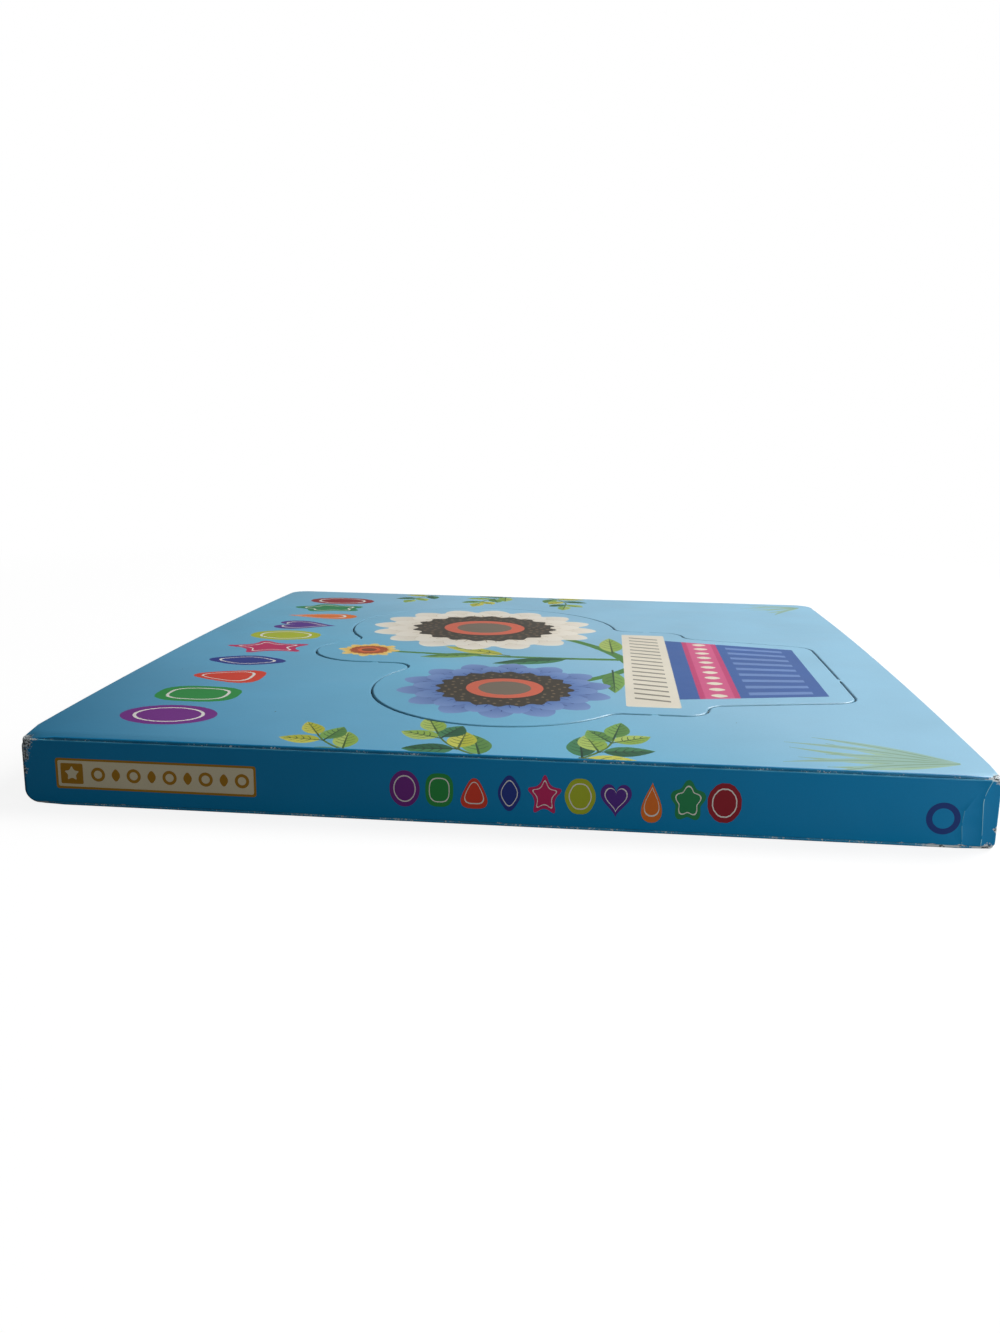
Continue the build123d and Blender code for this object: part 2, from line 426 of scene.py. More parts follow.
trimmed = HALF_HEIGHT - LEAF_SLIP
leaf_outline = rounded([
    (BLOCK_START, -trimmed, SHARP_CORNER, LEAF_ROLL),
    (BOOK_WIDTH - LEAF_SLIP, -trimmed, FORE_EDGE_CORNER, LEAF_ROLL),
    (BOOK_WIDTH - LEAF_SLIP, trimmed, FORE_EDGE_CORNER, LEAF_ROLL),
    (BLOCK_START, trimmed, WORN_CORNER, LEAF_ROLL)])
score_lines = [[(SCORE_ACROSS + aside, SCORE_END - trimmed), (SCORE_ACROSS + aside, trimmed - SCORE_END)]
               for aside in (-SCORE_WIDTH / 2, 0, SCORE_WIDTH / 2)]
bend_points = grid(BOOK_WIDTH, 2 * trimmed, BEND_STEP)
leaf = board("page_block", [leaf_outline], leaf_face, lambda across, up: 0.0, COVER_TO_ROW,
             [leaf_paper, leaf_edge, leaf_paper], guides=score_lines + bend_points, back_guides=bend_points)

# The stack: each leaf is the one under it, a pitch higher and with a little more swell
stack = bpy.data.node_groups.new("stack of leaves", "GeometryNodeTree")
stack.interface.new_socket("Geometry", in_out="OUTPUT", socket_type="NodeSocketGeometry")
stack.interface.new_socket("Leaf", in_out="INPUT", socket_type="NodeSocketGeometry")
stack_sizes = {
    "Leaves": LEAVES, "Pitch": LEAF_PITCH * MM, "Back of first leaf": (BOARD + LINING_GAP) * MM,
    "Fore-edge rise": FORE_EDGE_RISE * MM, "Crown": CROWN * MM, "Slip": LEAF_SLIP * MM,
    "Spine side": (SPINE_Y + BLOCK_START) * MM, "Fore-edge": (SPINE_Y + BOOK_WIDTH) * MM}
stack_sockets = {}
for name in stack_sizes:
    kind = "NodeSocketInt" if name == "Leaves" else "NodeSocketFloat"
    stack_sockets[name] = stack.interface.new_socket(name, in_out="INPUT", socket_type=kind)
given = stack.nodes.new("NodeGroupInput").outputs
first_places = add(stack, "GeometryNodeMeshLine", {"Count": given["Leaves"], "Offset": (0, 0, 0)})
numbered = add(stack, "GeometryNodeStoreNamedAttribute", {
    "Geometry": first_places, "Name": "leaf", "Value": add(stack, "GeometryNodeInputIndex")},
    data_type="FLOAT", domain="POINT")
copies = add(stack, "GeometryNodeInstanceOnPoints", {"Points": numbered, "Instance": given["Leaf"]})
number = add(stack, "GeometryNodeInputNamedAttribute", {"Name": "leaf"}, data_type="FLOAT")
here = add(stack, "ShaderNodeSeparateXYZ", {"Vector": add(stack, "GeometryNodeInputPosition")})
share = add(stack, "ShaderNodeMapRange", {
    "Value": here.outputs["Y"], 1: given["Spine side"], 2: given["Fore-edge"], 3: 0.0, 4: 1.0}, clamp=False)
rest = add(stack, "ShaderNodeMath", {0: share, 1: -4.0, 2: 4.0}, operation="MULTIPLY_ADD")
arch = add(stack, "ShaderNodeMath", {0: share, 1: rest}, operation="MULTIPLY")
rise = add(stack, "ShaderNodeMath", {0: given["Fore-edge rise"], 1: share}, operation="MULTIPLY")
full_swell = add(stack, "ShaderNodeMath", {0: given["Crown"], 1: arch, 2: rise}, operation="MULTIPLY_ADD")
counted = add(stack, "ShaderNodeMath", {0: number, 1: 1.0}, operation="ADD")
level = add(stack, "ShaderNodeMath", {0: counted, 1: given["Leaves"]}, operation="DIVIDE")
lift = add(stack, "ShaderNodeMath", {0: number, 1: given["Pitch"], 2: given["Back of first leaf"]},
           operation="MULTIPLY_ADD")
height = add(stack, "ShaderNodeMath", {0: full_swell, 1: level, 2: lift}, operation="MULTIPLY_ADD")
least_slip = add(stack, "ShaderNodeMath", {0: given["Slip"], 1: -1.0}, operation="MULTIPLY")
slips = [add(stack, "FunctionNodeRandomValue", {2: least_slip, 3: given["Slip"], "ID": number, "Seed": seed},
             data_type="FLOAT") for seed in (4, 9)]
shift = add(stack, "ShaderNodeCombineXYZ", {"X": slips[0], "Y": slips[1], "Z": height})
stacked = add(stack, "GeometryNodeSetPosition", {
    "Geometry": add(stack, "GeometryNodeRealizeInstances", {"Geometry": copies}), "Offset": shift})
papered = add(stack, "GeometryNodeSetMaterial", {"Geometry": stacked, "Material": leaf_paper})
cut_sides = add(stack, "FunctionNodeCompare", {
    2: add(stack, "GeometryNodeInputMaterialIndex"), 3: 1}, data_type="INT", operation="EQUAL")
edged = add(stack, "GeometryNodeSetMaterial", {
    "Geometry": papered, "Selection": cut_sides, "Material": leaf_edge})
add(stack, "NodeGroupOutput", {0: edged})

stacking = leaf.modifiers.new("stack", "NODES")
stacking.node_group = stack
for name, size in stack_sizes.items():
    stacking[stack_sockets[name].identifier] = size
leaves_mesh = bpy.data.meshes.new_from_object(leaf.evaluated_get(bpy.context.evaluated_depsgraph_get()))
leaf.modifiers.clear()
leaf.data = leaves_mesh
page_block = leaf
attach(page_block, "book")
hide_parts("page_block")

# Back cover
# The same board as the front, flat, printed sky blue and film-laminated outside. It is all one with the
# spine and the front cover in the laminate, which is scored and folded at the spine.
SKY = "#008CC6"
FOLD_ACROSS = 0.3         # the folds lie a little behind the spine's face
TOP_FOLD = 0.95           # and in from the top of the book
BOTTOM_FOLD = 0.65        # and from its underside
COVER_TOP = 15.3
CUT_ROLL = 0.22           # the blade rolls the laminate down at the trimmed edges
FOLD_ROLL = 0.45
COVER_WORN_CORNER = 1.5
SPINE_THICKNESS = 15.4
MITRE_END = 0.6           # the line where the mitre starts stops short of the head and the tail
WRAPPED = 3.2             # beside the fold, knocks press the laminate over the cut edges at head and tail
HEAD_KNOCK = (1.3, 4.5)   # how deep knocks have pressed the spine corners in, and how far that reaches
TAIL_KNOCK = (0.5, 2.4)


def printed_laminate(name, rub, whitened_and_highlight, spots, worn="#DCE6E9", grime="#343B3D"):
    """Offset print under gloss film: even colour with a slight mottle, and an orange-peel gloss that handling
    has dulled. Along rubbed edges the film is broken, and the white liner shows with grey dirt in it.

    rub is how far gone the edges are, and the amount after it how much the film is stretched pale along them,
    with a painted highlight in that pale line, 0 to 1.
    spots are (place, radius, how much) where it is worse.
    """
    # A real print screen is about 0.15 mm, and is drawn coarser to show. The film has the default IOR, 1.5
    mottle_size, screen_size, peel_size, scuff_size, patch_size, smudge_size, worn_width = (
        size * MM for size in (30.0, 0.35, 1.6, 0.45, 7.0, 18.0, 0.4))
    material, tree, shader, here = new_material(name)
    ink = add(tree, "ShaderNodeAttribute", attribute_name="ink").outputs["Color"]
    from_edge = add(tree, "ShaderNodeAttribute", attribute_name="edge").outputs["Fac"]
    mottle = add(tree, "ShaderNodeTexNoise", {"Vector": here, "Scale": 1 / mottle_size, "Detail": 3.0})
    screen = add(tree, "ShaderNodeTexNoise", {"Vector": here, "Scale": 1 / screen_size, "Detail": 2.0})
    tone = add(tree, "ShaderNodeMath", {
        0: add(tree, "ShaderNodeMapRange", {"Value": mottle, 1: 0.3, 2: 0.7, 3: 0.95, 4: 1.04}),
        1: add(tree, "ShaderNodeMapRange", {"Value": screen, 1: 0.3, 2: 0.7, 3: 0.975, 4: 1.025})},
        operation="MULTIPLY")
    toned = add(tree, "ShaderNodeVectorMath", {0: ink, "Scale": tone}, operation="SCALE")

    patches = add(tree, "ShaderNodeTexNoise", {"Vector": here, "Scale": 1 / patch_size, "Detail": 3.0})
    rubbed = add(tree, "ShaderNodeMath", {
        0: add(tree, "ShaderNodeMapRange", {"Value": from_edge, 1: 0.0, 2: worn_width / MM, 3: 1.0, 4: 0.0}),
        1: add(tree, "ShaderNodeMapRange", {"Value": patches, 1: 0.35, 2: 0.65, 3: rub * 0.6, 4: rub})},
        operation="MULTIPLY")
    knocked = add(tree, "ShaderNodeMath", {0: 0.0, 1: 0.0}, operation="ADD")
    for place, radius, how_much in spots:
        away = add(tree, "ShaderNodeVectorMath", {0: here, 1: tuple(Vector(place) * MM)},
                   operation="DISTANCE")
        worse = add(tree, "ShaderNodeMapRange", {"Value": away, 1: 0.0, 2: radius * MM, 3: how_much, 4: 0.0})
        knocked = add(tree, "ShaderNodeMath", {0: knocked, 1: worse}, operation="MAXIMUM")
    scuffs = add(tree, "ShaderNodeTexNoise", {
        "Vector": here, "Scale": 1 / scuff_size, "Detail": 6.0, "Roughness": 0.65})
    specks = add(tree, "ShaderNodeTexNoise", {"Vector": here, "Scale": 1.1 / scuff_size, "Detail": 5.0})
    hurt = add(tree, "ShaderNodeMath", {0: rubbed, 1: knocked}, operation="ADD")
    film_gone = add(tree, "ShaderNodeMath", {0: hurt, 1: scuffs}, operation="SUBTRACT")
    bare = add(tree, "ShaderNodeMapRange", {"Value": film_gone, 1: -0.02, 2: 0.08, 3: 0.0, 4: 1.0})
    dirt_left = add(tree, "ShaderNodeMath", {
        0: add(tree, "ShaderNodeMapRange", {"Value": knocked, 1: 0.3, 2: 0.55, 3: 0.0, 4: 1.0}), 1: specks},
        operation="MULTIPLY")
    dirty = add(tree, "ShaderNodeMapRange", {"Value": dirt_left, 1: 0.48, 2: 0.54, 3: 0.0, 4: 0.9})
    # Along the edges the film is stretched pale, and a painted highlight is put in the same pale cyan line
    crazed_and_highlight = add(tree, "ShaderNodeMath", {
        0: add(tree, "ShaderNodeMapRange", {"Value": from_edge, 1: 0.05, 2: 0.25, 3: 1.0, 4: 0.0}),
        1: add(tree, "ShaderNodeMapRange", {
            "Value": patches, 1: 0.35, 2: 0.6, 3: whitened_and_highlight * 0.3, 4: whitened_and_highlight})},
        operation="MULTIPLY")
    pale_film_and_highlight = add(tree, "ShaderNodeMix", {0: crazed_and_highlight, 6: toned, 7: linear("#74CFEB")}, data_type="RGBA")
    liner = add(tree, "ShaderNodeMix", {0: bare, 6: pale_film_and_highlight, 7: linear(worn)}, data_type="RGBA")
    colour = add(tree, "ShaderNodeMix", {0: dirty, 6: liner, 7: linear(grime)}, data_type="RGBA")
    tree.links.new(colour.outputs["Result"], shader.inputs["Base Color"])

    smudges = add(tree, "ShaderNodeTexNoise", {"Vector": here, "Scale": 1 / smudge_size, "Detail": 5.0})
    gloss = add(tree, "ShaderNodeMapRange", {"Value": smudges, 1: 0.35, 2: 0.7, 3: 0.3, 4: 0.4})
    matt = add(tree, "ShaderNodeMath", {0: bare, 1: 0.45, 2: gloss}, operation="MULTIPLY_ADD")
    tree.links.new(matt.outputs[0], shader.inputs["Roughness"])
    peel = add(tree, "ShaderNodeTexNoise", {"Vector": here, "Scale": 1 / peel_size, "Detail": 2.0})
    peeled = add(tree, "ShaderNodeBump", {"Height": peel, "Distance": 0.012 * MM, "Strength": 0.6})
    broken = add(tree, "ShaderNodeBump", {
        "Height": bare, "Normal": peeled, "Distance": 0.04 * MM, "Strength": 0.9}, invert=True)
    tree.links.new(broken.outputs[0], shader.inputs["Normal"])
    return material


def swell(across):
    """How much the closed front cover rises at a distance from the spine."""
    share = max(across - BLOCK_START, 0) / (BOOK_WIDTH - BLOCK_START)
    return FORE_EDGE_RISE * share + 4 * CROWN * share * (1 - share)


def mitre(across, inner_face, fold):
    """The back of a cover: flat, and cut back to the fold where it meets the spine."""
    return inner_face + max(BOARD - across, 0) * (BOARD - fold) / (BOARD - FOLD_ACROSS)


def cover_outline(low_corner, high_corner):
    return rounded([
        (FOLD_ACROSS, -HALF_HEIGHT, low_corner, CUT_ROLL),
        (BOOK_WIDTH, -HALF_HEIGHT, FORE_EDGE_CORNER, CUT_ROLL),
        (BOOK_WIDTH, HALF_HEIGHT, FORE_EDGE_CORNER, CUT_ROLL),
        (FOLD_ACROSS, HALF_HEIGHT, high_corner, FOLD_ROLL)])


def crushed(across, up, head):
    """How far knocks have pressed a cover in. head is 1 where up is towards the book's head, or else -1."""
    pressed = 0.0
    for end, (depth, reach) in ((head, HEAD_KNOCK), (-head, TAIL_KNOCK)):
        away = hypot(across - FOLD_ACROSS, up - end * HALF_HEIGHT)
        pressed += depth * max(0, 1 - away / reach) ** 1.5
    return pressed


board_edge = cut_edge_of_board("guillotined cover board", SKY, 1)
cover_lining = coated_paper("coated lining paper", "#F1EEE4", "#E6E1D2")
back_laminate = printed_laminate("gloss laminate, back cover", 0.52, 0.3, [
    ((-99, -103, 0.5), 5, 0.8), ((90, -104, 0.2), 4, 0.62), ((98, -104, 0.2), 3, 0.8),
    ((99, 103, 0.5), 4, 0.7), ((-99, 103, 0.5), 4, 0.7)])
# The back cover's face looks down, so its plan is the front cover's seen from the other side
BACK_TO_ROW = Matrix.Scale(MM, 4) @ Matrix((
    (0, 1, 0, 0), (1, 0, 0, SPINE_Y), (0, 0, -1, BOARD), (0, 0, 0, 1)))
mitre_line = [[(BOARD, MITRE_END - HALF_HEIGHT), (BOARD, HALF_HEIGHT - MITRE_END)]]
# More guide points at the corners that knocks have crushed
corner_guides = [[(across, side * (HALF_HEIGHT - inset))]
                 for side in (-1, 1) for inset in (0.8, 1.4, 2.1, 3.0, 4.2)
                 for across in (1.1, 1.6, 2.2, 3.0, 4.2)]
back_cover = board(
    "back_cover", [cover_outline(WORN_CORNER, SHARP_CORNER)],
    lambda across, up: BOARD - crushed(across, up, -1),
    lambda across, up: max(mitre(across, 0.0, BOTTOM_FOLD) - crushed(across, up, -1), 0.0),
    BACK_TO_ROW, [back_laminate, board_edge, cover_lining], SKY,
    guides=grid(BOOK_WIDTH, 2 * HALF_HEIGHT, 2 * BEND_STEP) + corner_guides, back_guides=mitre_line,
    wrapped=WRAPPED)
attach(back_cover, "back")
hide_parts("back_cover")

# Spine
# A strip of the same board between the two folds. It stands behind the laminate, which is stretched pale
# along the folds, with a painted highlight in that pale line, and has two stress creases near the tail, their
# pale lines partly painted highlight, and crushed corners at the head.
SPINE_TO_ROW = Matrix.Scale(MM, 4) @ Matrix((
    (1, 0, 0, 0), (0, 0, -1, SPINE_Y + BOARD), (0, 1, 0, 0), (0, 0, 0, 1)))
SPINE_WORN_CORNER = 2.2
HEAD_CRUSH = 1.1          # the printed face rolls round the crushed head end of the strip
BOTTOM_ROLL, END_ROLL = 0.32, 0.3
SPINE_MITRE_END = 0.5
CREASE_HEIGHT, CREASE_WIDTH = 0.07, 0.34
CREASE_WHITE = (0.17, 0.07)       # width of the pale line along a crease, whitened film with a painted highlight, at its start and its end
CREASES_FROM = 91.5               # there is none nearer to the head


def spine_back(along, height):
    from_top = max(SPINE_THICKNESS - TOP_FOLD - height, 0) / (BOARD - TOP_FOLD)
    from_bottom = max(height - BOTTOM_FOLD, 0) / (BOARD - BOTTOM_FOLD)
    return (BOARD - FOLD_ACROSS) * max(1 - min(from_top, from_bottom), 0)


def softened(outline, rounds=2):
    """Cuts an outline's corners, and cuts the new ones, until they are round."""
    for _ in range(rounds):
        outline = [a.lerp(b, share) for a, b in with_next(outline) for share in (0.22, 0.78)]
    return outline


def about(centre, distances, turn=0.0):
    """Places round a centre, at equal angles and at the given distances, from an angle of turn."""
    step = 2 * pi / len(distances)
    return [Vector((centre[0] + d * cos(turn + i * step), centre[1] + d * sin(turn + i * step)))
            for i, d in enumerate(distances)]


# Plain shapes for a child to name, upright and about 2 units across
heart = [Vector((16 * sin(t) ** 3, 13 * cos(t) - 5 * cos(2 * t) - 2 * cos(3 * t) - cos(4 * t))) / 16
         for t in (2 * pi * (i + 0.5) / 48 for i in range(48))][::-1]
drop = [Vector((0.95 * sin(t) * sin(t / 2) ** 1.5, 1.1 * cos(t) - 0.15))
        for t in (2 * pi * i / 44 for i in range(44))]
FIRST_SHAPES = [
    (about((0, 0), [1.0] * 44), "#7B2F8E"),
    (softened(about((0, 0), [1.3] * 4, pi / 4), 3), "#2F9A4A"),
    (softened(about((0, -0.22), [1.42] * 3, pi / 2), 3), "#E5452F"),
    (softened(about((0, 0), [0.95, 1.25] * 2), 3), "#2B3D93"),
    (softened(about((0, -0.05), [1.3, 0.62] * 5, pi / 2), 2), "#C92B66"),
    (softened(about((0, 0), [1.12] * 6), 3), "#B4C12F"),
    (heart, "#5C3192"),
    (drop, "#EE7A2A"),
    (about((0, 0), [1 + 0.16 * cos(5 * 2 * pi * i / 60) for i in range(60)], pi / 2), "#2B8F57"),
    (softened(about((0, 0), [1.15] * 8, pi / 8), 1), "#9E2230"),
]


def shape_row(start, pitch, size):
    """The row of shapes along a straight line. size is half the width and half the height of each, and a
    thin pale line runs inside it."""
    prints = []
    for number, (outline, colour) in enumerate(FIRST_SHAPES):
        centre = Vector(start) + Vector(pitch) * number
        sized = [Vector((place.x * size[0], place.y * size[1])) for place in outline]
        for scale, paint in ((1.0, colour), (0.74, "#EFEDE6"), (0.67, colour)):
            prints.append(([centre + place * scale for place in sized], paint))
    return prints


def slab(left, bottom, right, top, corner, rounds=3):
    """A rectangle with soft corners."""
    outline = []
    for x, y, x_way, y_way in (
            (left, bottom, 1, 1), (right, bottom, -1, 1), (right, top, -1, -1), (left, top, 1, -1)):
        ends = [Vector((x, y + y_way * corner)), Vector((x, y)), Vector((x + x_way * corner, y))]
        outline += ends if x_way == y_way else ends[::-1]
    return softened(outline, rounds)


def stroke(path, widths):
    """A tapering line of ink along a path, with its width at the start and at the end."""
    left, right = [], []
    for number, place in enumerate(path):
        way = (path[min(number + 1, len(path) - 1)] - path[max(number - 1, 0)]).normalized()
        half = (widths[0] + (widths[1] - widths[0]) * number / (len(path) - 1)) / 2
        left.append(place + Vector((-way.y, way.x)) * half)
        right.append(place - Vector((-way.y, way.x)) * half)
    return right + left[::-1]


spine_prints = shape_row((-17.6, 7.3), (7.2, 0), (3.15, 3.9))

# A label near the head, with a star in a field of its own and a row of rings and lozenges
label_left, label_right, label_bottom, label_top = -92.4, -48.9, 3.9, 10.6
label_border, label_field, field_width = 0.5, 1.1, 4.9
label_middle = (label_bottom + label_top) / 2
label_marks, first_mark, mark_pitch = 9, 9.3, 3.9
mustard, cream = "#B98418", "#EDE2C0"
spine_prints += [
    (slab(label_left, label_bottom, label_right, label_top, 1.6), mustard),
    (slab(label_left + label_border, label_bottom + label_border,
          label_right - label_border, label_top - label_border, 1.2), cream),
    (slab(label_left + label_field, label_bottom + label_field,
          label_left + label_field + field_width, label_top - label_field, 0.9), mustard),
    (softened(about((label_left + label_field + field_width / 2, label_middle), [1.8, 0.85] * 5, pi / 2)),
     cream)]
for number in range(label_marks):
    middle = (label_left + first_mark + number * mark_pitch, label_middle)
    if number % 2:
        spine_prints.append((softened(about(middle, [1.7, 1.15] * 2, pi / 2)), mustard))
    else:
        spine_prints += [(about(middle, [1.55] * 24), mustard), (about(middle, [0.9] * 20), cream)]

# A ring near the tail
ring_middle = (89.6, 6.2)
spine_prints += [(about(ring_middle, [3.3] * 40), "#1D3F86"), (about(ring_middle, [2.1] * 32), SKY)]

# The creases: two thin ridges in the laminate, down to the bottom fold
crease_lines = []
for corners in ([(98.2, 14.3), (97.4, 12.5), (96.8, 10.4), (97.0, 7.3), (97.3, 2.2), (97.2, 0.9)],
                [(93.5, 8.0), (93.2, 5.2), (93.5, 2.6), (93.6, 0.9)]):
    line = [Vector(corner) for corner in corners]
    for _ in range(2):
        cut = [a.lerp(b, share) for a, b in zip(line, line[1:]) for share in (0.25, 0.75)]
        line = [line[0], *cut, line[-1]]
    crease_lines.append(line)


def spine_face(along, height):
    here, ridge = Vector((along, height)), 0.0
    if along > CREASES_FROM:
        for line in crease_lines:
            for a, b in zip(line, line[1:]):
                share = min(max((here - a).dot(b - a) / (b - a).length_squared, 0), 1)
                ridge = max(ridge, 1 - (here - a.lerp(b, share)).length / CREASE_WIDTH)
    return BOARD - CREASE_HEIGHT + CREASE_HEIGHT * ridge


crease_guides = []
# Each crease's pale line is whitened film with a painted highlight along its ridge
for line, whitened_and_highlight in zip(crease_lines, ("#9ADCEE", "#5FB0D2")):
    for aside in (-CREASE_WIDTH, 0.0, CREASE_WIDTH):
        crease_guides.append([(place.x + aside, place.y) for place in line])
    stretches = [0, len(line) * 2 // 5, len(line) * 3 // 4, len(line)]
    for first, last in zip(stretches, stretches[1:]):
        spine_prints.append((stroke(line[first:last], CREASE_WHITE), whitened_and_highlight))
spine_bottom, spine_top = BOTTOM_FOLD, SPINE_THICKNESS - TOP_FOLD
spine_outline = rounded([
    (-HALF_HEIGHT, spine_bottom, WORN_CORNER, BOTTOM_ROLL),
    (HALF_HEIGHT, spine_bottom, SHARP_CORNER, END_ROLL),
    (HALF_HEIGHT, spine_top, SHARP_CORNER, END_ROLL),
    (-HALF_HEIGHT, spine_top, SPINE_WORN_CORNER, HEAD_CRUSH)])
spine_laminate = printed_laminate("gloss laminate, spine", 0.44, 0.9, [
    ((-99.4, -103.4, 14.2), 4.4, 1.0), ((-99.8, -103.4, 11), 3.8, 0.95), ((-100, -103.4, 7.6), 3.4, 0.82),
    ((99.6, -103.8, 14.4), 2.2, 0.75), ((99.6, -103.8, 4.4), 1.3, 0.68), ((98.5, -103.8, 0.6), 2.4, 0.75),
    ((93.5, -103.9, 0.5), 1.7, 0.72), ((88, -103.9, 0.4), 1.5, 0.66), ((82, -103.9, 0.4), 1.3, 0.62),
    ((2, -103.9, 0.4), 1.5, 0.6), ((-78, -103.9, 0.4), 1.4, 0.6)])
spine_edge = cut_edge_of_board("guillotined spine board", SKY, 1)
spine_guides = [[(x, z)] for x in range(-96, 100, 8) for z in (4, 8, 12)]
mitre_lines = [[(SPINE_MITRE_END - HALF_HEIGHT, z), (HALF_HEIGHT - SPINE_MITRE_END, z)]
               for z in (BOARD, SPINE_THICKNESS - BOARD)]
spine = board("spine", [spine_outline], spine_face, spine_back, SPINE_TO_ROW,
              [spine_laminate, spine_edge, cover_lining], SKY, spine_prints, crease_guides + spine_guides,
              mitre_lines)
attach(spine, "book")
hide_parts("spine")

# Front cover
# Board printed and laminated like the back, then die-cut round the press-out piece. It swells with the
# leaves under it, and droops to the fold.
FOLD_DROOP, DROOP_WIDTH = 0.22, 5.0
WARP = 0.03
# The sky print is painted darker at the spine corner at the head and paler away from it: painted shade there,
# and painted light towards the far side
SKY_WITH_PAINTED_SHADE_AND_LIGHT = ("#2A7FA8", "#67B1D7", "#76BEDF", "#96CAE6", Vector((0, HALF_HEIGHT)), Vector((88, -22)))
KERF = 0.2                # width of the die-cut line between the two boards
KERF_ROLL = 0.55          # and how wide it rolls their laminate down
NICK_WIDTH = 1.4
NICK_ROLL = 0.08
NICK_REACH = (0.5, 0.9)   # where the flat top of a nick ends and the full roll begins, in its widths
# Bridges of board that the die leaves uncut: across, up, and the way that each points out of the piece
NICKS = [(34.0, -34.5, -1, 0), (74.0, -84.0, 0, -1), (134.0, -36.0, 1, 0), (77.0, 40.0, -1, 0)]
LEAF_GREENS = [("#5C8F45", "#7FAF55", "#2B5233"), ("#B9BE3C", "#CFD05A", "#55692B"),
               ("#2C6443", "#458558", "#1B412E"), ("#93B64C", "#B3CB68", "#46652F")]


def cover_face(across, up):
    droop = FOLD_DROOP * max(0, 1 - (across - FOLD_ACROSS) / DROOP_WIDTH) ** 2
    warp = WARP * sin(across / 17 + up / 41) * sin(up / 23 - across / 53)
    return COVER_TOP - WARP + swell(across) - droop + warp - crushed(across, up, 1)


def cover_back(across, up):
    return mitre(across, SPINE_THICKNESS - BOARD + swell(across), TOP_FOLD) - crushed(across, up, 1)


def cut_line(node):
    """The die's path: the longest line round the back of a CAD node that is clear of the book's edges."""
    clear = 5.0
    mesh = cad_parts[node].data
    spots = {}
    merged = [spots.setdefault(tuple(round(c, 6) for c in vertex.co), vertex.index)
              for vertex in mesh.vertices]
    sides = set()
    for polygon in mesh.polygons:
        if polygon.normal.z < -0.9:
            sides |= set(with_next([merged[v] for v in polygon.vertices]))
    border = {a: b for a, b in sides if (b, a) not in sides}
    loops = []
    while border:
        start, following = border.popitem()
        ring = [start]
        while following != start:
            ring.append(following)
            following = border.pop(following)
        loops.append([mesh.vertices[v].co / MM for v in ring])
    inner = [loop for loop in loops if max(abs(place.x) for place in loop) < HALF_HEIGHT - clear]
    longest = max(inner, key=len)[::-1]
    return [Vector((place.y - SPINE_Y, -place.x)) for place in longest]


def nicked(outline):
    """A board's outline at the die-cut line, as (across, up, roll). Its face is hardly rolled at a nick."""
    flat, full = NICK_REACH
    places = []
    for here, after in with_next(outline):
        way = after - here
        shares = [0.0]
        for across, up, across_way, up_way in NICKS:
            for aside in (-full, -flat, flat, full):
                place = Vector((across - up_way * aside * NICK_WIDTH, up + across_way * aside * NICK_WIDTH))
                share = (place - here).dot(way) / way.length_squared
                if 0 < share < 1 and (here.lerp(after, share) - place).length < 2 * KERF:
                    shares.append(share)
        for share in sorted(shares):
            place = here.lerp(after, share)
            away = min(hypot(place.x - nick[0], place.y - nick[1]) for nick in NICKS) / NICK_WIDTH
            rolled = min(max((away - flat) / (full - flat), 0), 1)
            places.append((*place, NICK_ROLL + (KERF_ROLL - NICK_ROLL) * rolled))
    return places


def bowed(start, end, bend, steps):
    """A path that bends to one side, by a share of its length."""
    start, way = Vector(start), Vector(end) - Vector(start)
    aside = Vector((-way.y, way.x)) * bend
    shares = [step / steps for step in range(steps + 1)]
    return [start + way * share + aside * 4 * share * (1 - share) for share in shares]


def leaf_print(base, tip, width, dark, light, vein):
    """A pointed leaf with one half lighter, a midrib and side veins."""
    base, along = Vector(base), Vector(tip) - Vector(base)
    aside = Vector((-along.y, along.x)).normalized() * width / 2
    shares = [i / 12 for i in range(13)]
    bulge = [sin(pi * share ** 0.8) ** 0.85 for share in shares]
    left = [base + along * share + aside * wide for share, wide in zip(shares, bulge)]
    right = [base + along * share - aside * wide for share, wide in zip(shares, bulge)]
    rib = [base + along * share for share in shares]
    prints = [(right + left[-2:0:-1], dark), (rib + left[-2:0:-1], light)]
    for share in (0.22, 0.38, 0.54, 0.7):
        for side in (1, -1):
            reach = aside * side * 0.78 * sin(pi * (share + 0.13) ** 0.8)
            vein_path = [base + along * share, base + along * (share + 0.07) + reach * 0.6,
                         base + along * (share + 0.16) + reach]
            prints.append((stroke(vein_path, (width * 0.05, width * 0.02)), vein))
    return prints + [(stroke([base - along * 0.12] + rib[:-1], (width * 0.09, width * 0.03)), vein)]


def spray(base, tip, bend, pairs, length, width, first_green):
    """A stem that bends to one side, with pairs of leaves and one at its tip."""
    path = bowed(base, tip, bend, 12)
    prints = [(stroke(path, (0.9, 0.4)), "#5E7F2E")]
    for pair in range(pairs):
        at = 1 + round((pair + 0.6) * 11 / (pairs + 0.3))
        heading = (path[min(at + 1, 12)] - path[at - 1]).normalized()
        for side in (1, -1):
            outward = Matrix.Rotation(side * radians(52 - 4 * pair), 2) @ heading
            grown = length * (1 - 0.13 * pair)
            greens = LEAF_GREENS[(first_green + pair + (side > 0)) % len(LEAF_GREENS)]
            prints += leaf_print(path[at] + outward * 0.8, path[at] + outward * grown, width, *greens)
    heading = (path[12] - path[10]).normalized()
    greens = LEAF_GREENS[(first_green + pairs) % len(LEAF_GREENS)]
    return prints + leaf_print(path[12], path[12] + heading * length * 0.85, width * 0.9, *greens)


